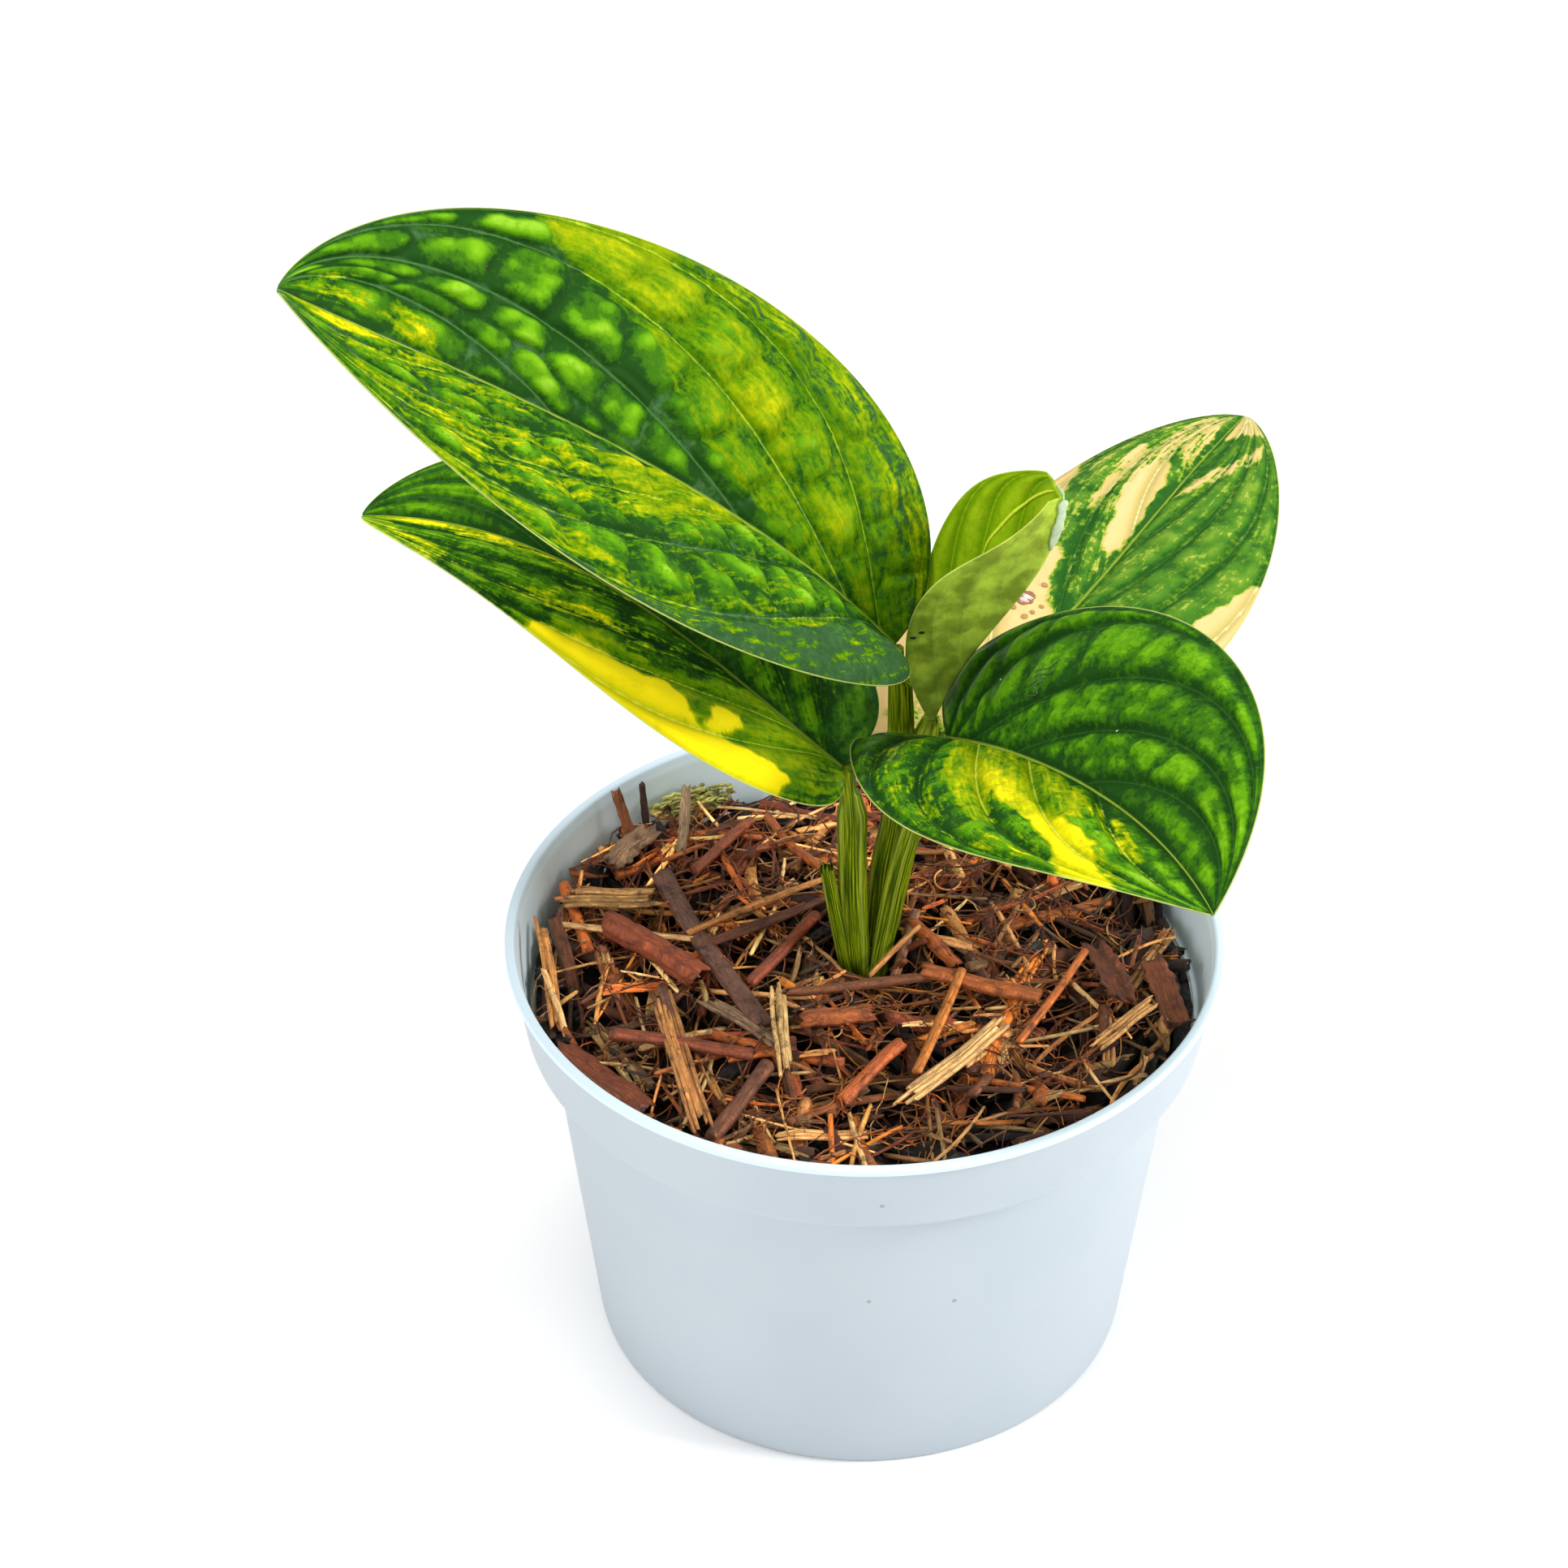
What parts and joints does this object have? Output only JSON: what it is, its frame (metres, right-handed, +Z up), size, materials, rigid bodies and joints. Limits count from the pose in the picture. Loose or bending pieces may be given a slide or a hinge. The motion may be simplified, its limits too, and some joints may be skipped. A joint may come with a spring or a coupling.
{
  "type": "potted variegated monstera karstenianum",
  "caption": "Variegated aroid house plant with quilted leaves on petioles, growing from a bark and straw mix in a round collared nursery pot.",
  "frame": {"origin": "middle of the pot's underside, on the surface that the pot stands on", "axes": "+Z up along the pot's axis, +X to the right and +Y away from the side that the picture shows"},
  "size_m": [0.1987, 0.2133, 0.2675],
  "materials": {
    "pot": "smooth matte moulded plastic, bluish white",
    "potting_mix": "loose reddish brown husk, bark and straw pieces",
    "moss": "dry yellow green moss",
    "petiole": "satin green, striped lengthwise",
    "leaf": "satin quilted blade, dark green with yellow and cream variegation",
    "young_leaf": "thin soft light green blade"
  },
  "bodies": {
    "root": {"pot": "pot", "potting_mix": "potting_mix", "moss_tuft": "moss", "stem": "petiole", "petiole_upper_left": "petiole", "petiole_lower_left": "petiole", "petiole_front_right": "petiole", "petiole_back_right": "petiole", "petiole_new_leaf": "petiole", "leaf_upper_left": "leaf", "leaf_lower_left": "leaf", "leaf_front_right": "leaf", "leaf_back_right": "leaf", "leaf_unfurling": "young_leaf"}
  },
  "joints": []
}
